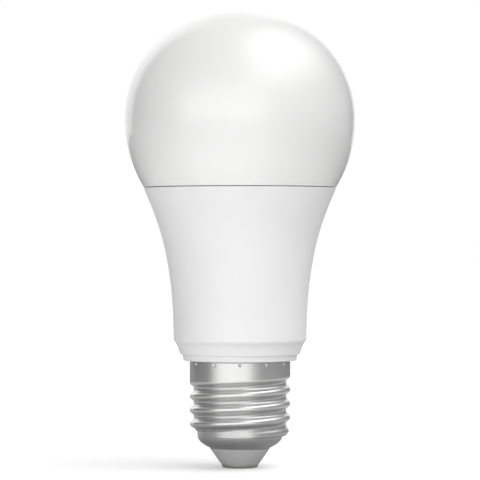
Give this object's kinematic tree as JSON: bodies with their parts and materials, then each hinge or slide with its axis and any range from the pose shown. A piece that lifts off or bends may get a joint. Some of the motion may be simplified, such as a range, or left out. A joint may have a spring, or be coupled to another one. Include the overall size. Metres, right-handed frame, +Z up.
{
  "type": "smart light bulb",
  "caption": "Smart LED light bulb: round opal diffuser globe on a flared white housing, with a threaded metal screw cap, grey insulator and centre contact.",
  "frame": {"origin": "centre of the flat tip of the centre contact, the lowest point of the bulb standing cap down", "axes": "+Z up the bulb's axis from the cap to the globe, -Y the front"},
  "size_m": [0.06, 0.06, 0.1206],
  "materials": {
    "opal_plastic": "satin",
    "white_plastic": "matte",
    "nickel_plated_steel": "satin",
    "grey_insulator": "satin",
    "tinned_contact": "satin",
    "silicone": "matte",
    "bare_aluminium": "satin",
    "white_metal_core_board": "satin",
    "warm_phosphor": "satin",
    "cool_phosphor": "satin",
    "zinc_plated_steel": "satin",
    "black_plastic": "matte",
    "green_circuit_board": "satin",
    "blue_circuit_board": "satin",
    "ferrite": "matte",
    "enamelled_copper": "satin",
    "capacitor_can": "gloss",
    "film_capacitor_resin": "satin",
    "resistor_coating": "satin",
    "chip_resin": "matte",
    "bare_copper": "satin",
    "red_wire": "satin",
    "black_wire": "satin"
  },
  "bodies": {
    "root": {"board_screw_1": "zinc_plated_steel", "board_screw_2": "zinc_plated_steel", "bridge_rectifier": "chip_resin", "cap_insulator": "grey_insulator", "centre_contact": "tinned_contact", "control_chip": "chip_resin", "diffuser_globe": "opal_plastic", "dimming_transistor_cool": "chip_resin", "dimming_transistor_warm": "chip_resin", "driver_board": "green_circuit_board", "driver_sleeve": "white_plastic", "film_capacitor": "film_capacitor_resin", "fusible_resistor": "resistor_coating", "header_base": "black_plastic", "header_pin_1": "tinned_contact", "header_pin_2": "tinned_contact", "header_pin_3": "tinned_contact", "header_pin_4": "tinned_contact", "heat_sink_cup": "bare_aluminium", "housing_shell": "white_plastic", "inductor_core": "ferrite", "inductor_winding": "enamelled_copper", "input_capacitor": "capacitor_can", "led_board": "white_metal_core_board", "led_cool_1": "cool_phosphor", "led_cool_2": "cool_phosphor", "led_cool_3": "cool_phosphor", "led_cool_4": "cool_phosphor", "led_cool_5": "cool_phosphor", "led_cool_6": "cool_phosphor", "led_cool_7": "cool_phosphor", "led_cool_8": "cool_phosphor", "led_socket": "black_plastic", "led_warm_1": "warm_phosphor", "led_warm_2": "warm_phosphor", "led_warm_3": "warm_phosphor", "led_warm_4": "warm_phosphor", "led_warm_5": "warm_phosphor", "led_warm_6": "warm_phosphor", "led_warm_7": "warm_phosphor", "led_warm_8": "warm_phosphor", "live_wire": "red_wire", "neutral_wire": "black_wire", "output_capacitor": "capacitor_can", "output_diode": "chip_resin", "radio_antenna": "bare_copper", "radio_board": "blue_circuit_board", "radio_chip": "chip_resin", "radio_pin_1": "tinned_contact", "radio_pin_2": "tinned_contact", "radio_pin_3": "tinned_contact", "radio_pin_4": "tinned_contact", "radio_shield": "tinned_contact", "screw_shell": "nickel_plated_steel", "seam_sealant_ring": "silicone", "thermal_pad": "silicone", "transformer_bobbin": "black_plastic", "transformer_core": "ferrite", "transformer_winding": "enamelled_copper"}
  },
  "joints": []
}
